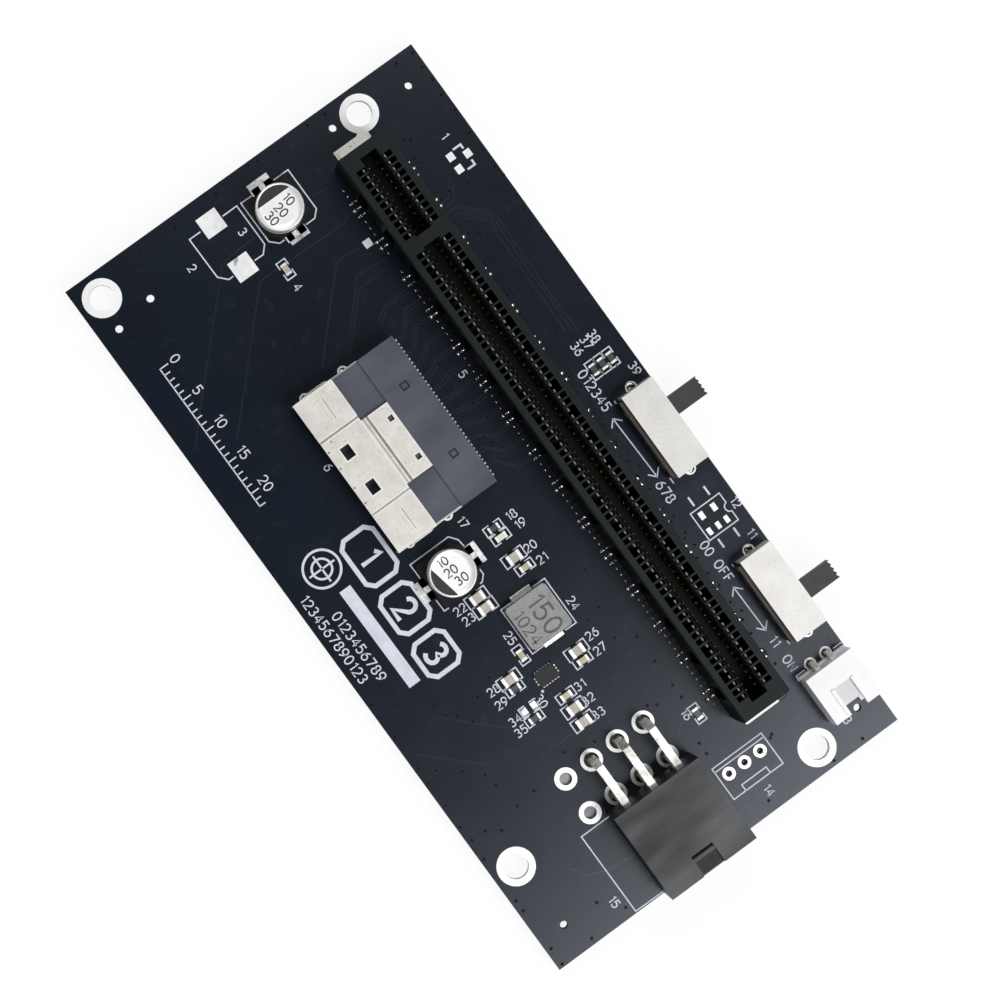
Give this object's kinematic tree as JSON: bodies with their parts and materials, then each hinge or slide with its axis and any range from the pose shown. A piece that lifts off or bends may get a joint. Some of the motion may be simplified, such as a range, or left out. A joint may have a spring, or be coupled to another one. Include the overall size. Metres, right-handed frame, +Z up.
{
  "type": "slimsas to pcie adapter",
  "caption": "Bare circuit board that adapts an internal server cable to a full-length expansion card slot, with power input and slide switches.",
  "frame": {"origin": "midway between the right-hand pair of screw holes, on the board's underside", "axes": "+X across the board towards the slide switches, +Y along the board away from the power header, +Z up out of the component side"},
  "size_m": [0.0598, 0.1094, 0.0142],
  "materials": {
    "laminate": "satin",
    "plated_land": "satin",
    "slot_plastic": "matte",
    "gold_contact": "polished",
    "tinned_lead": "satin",
    "shell_metal": "satin",
    "port_plastic": "matte",
    "header_plastic": "satin",
    "aux_plastic": "satin",
    "frame_metal": "satin",
    "phenolic": "matte",
    "knob_plastic": "matte",
    "can_aluminium": "satin",
    "black_base": "matte",
    "pressed_core": "matte",
    "chip_resin": "matte",
    "ceramic": "matte",
    "resistor_glaze": "satin",
    "lamp_resin": "satin"
  },
  "bodies": {
    "board": {"circuit_board": "laminate", "slot_housing": "slot_plastic", "slot_contacts_left": "gold_contact", "slot_contacts_right": "gold_contact", "slot_hold_downs": "tinned_lead", "port_shell": "shell_metal", "port_insulator": "port_plastic", "port_solder_tails": "tinned_lead", "power_header_housing": "header_plastic", "power_pins_lower": "tinned_lead", "power_pins_upper": "tinned_lead", "aux_header_housing": "aux_plastic", "aux_header_pins": "tinned_lead", "switch_1_frame": "frame_metal", "switch_1_base": "phenolic", "switch_1_terminals": "tinned_lead", "switch_2_frame": "frame_metal", "switch_2_base": "phenolic", "switch_2_terminals": "tinned_lead", "capacitor_upper_can": "can_aluminium", "capacitor_upper_base": "black_base", "capacitor_upper_leads": "tinned_lead", "capacitor_lower_can": "can_aluminium", "capacitor_lower_base": "black_base", "capacitor_lower_leads": "tinned_lead", "bare_lands": "plated_land", "inductor_body": "pressed_core", "inductor_terminals": "tinned_lead", "converter_chip": "chip_resin", "converter_chip_leads": "tinned_lead", "small_capacitor_bodies": "ceramic", "small_capacitor_ends": "tinned_lead", "large_capacitor_bodies": "ceramic", "large_capacitor_ends": "tinned_lead", "resistor_bodies": "resistor_glaze", "resistor_ends": "tinned_lead", "indicator_lamp": "lamp_resin", "indicator_lamp_ends": "tinned_lead"},
    "knob_1": {"switch_1_slider": "knob_plastic", "switch_1_clip": "gold_contact"},
    "knob_2": {"switch_2_slider": "knob_plastic", "switch_2_clip": "gold_contact"}
  },
  "joints": [
    {"name": "switch_1_slide", "type": "slide", "parent": "board", "child": "knob_1", "axis": [0, -1, 0], "range_m": [0, 0.0032]},
    {"name": "switch_2_slide", "type": "slide", "parent": "board", "child": "knob_2", "axis": [0, 1, 0], "range_m": [0, 0.0032]}
  ]
}
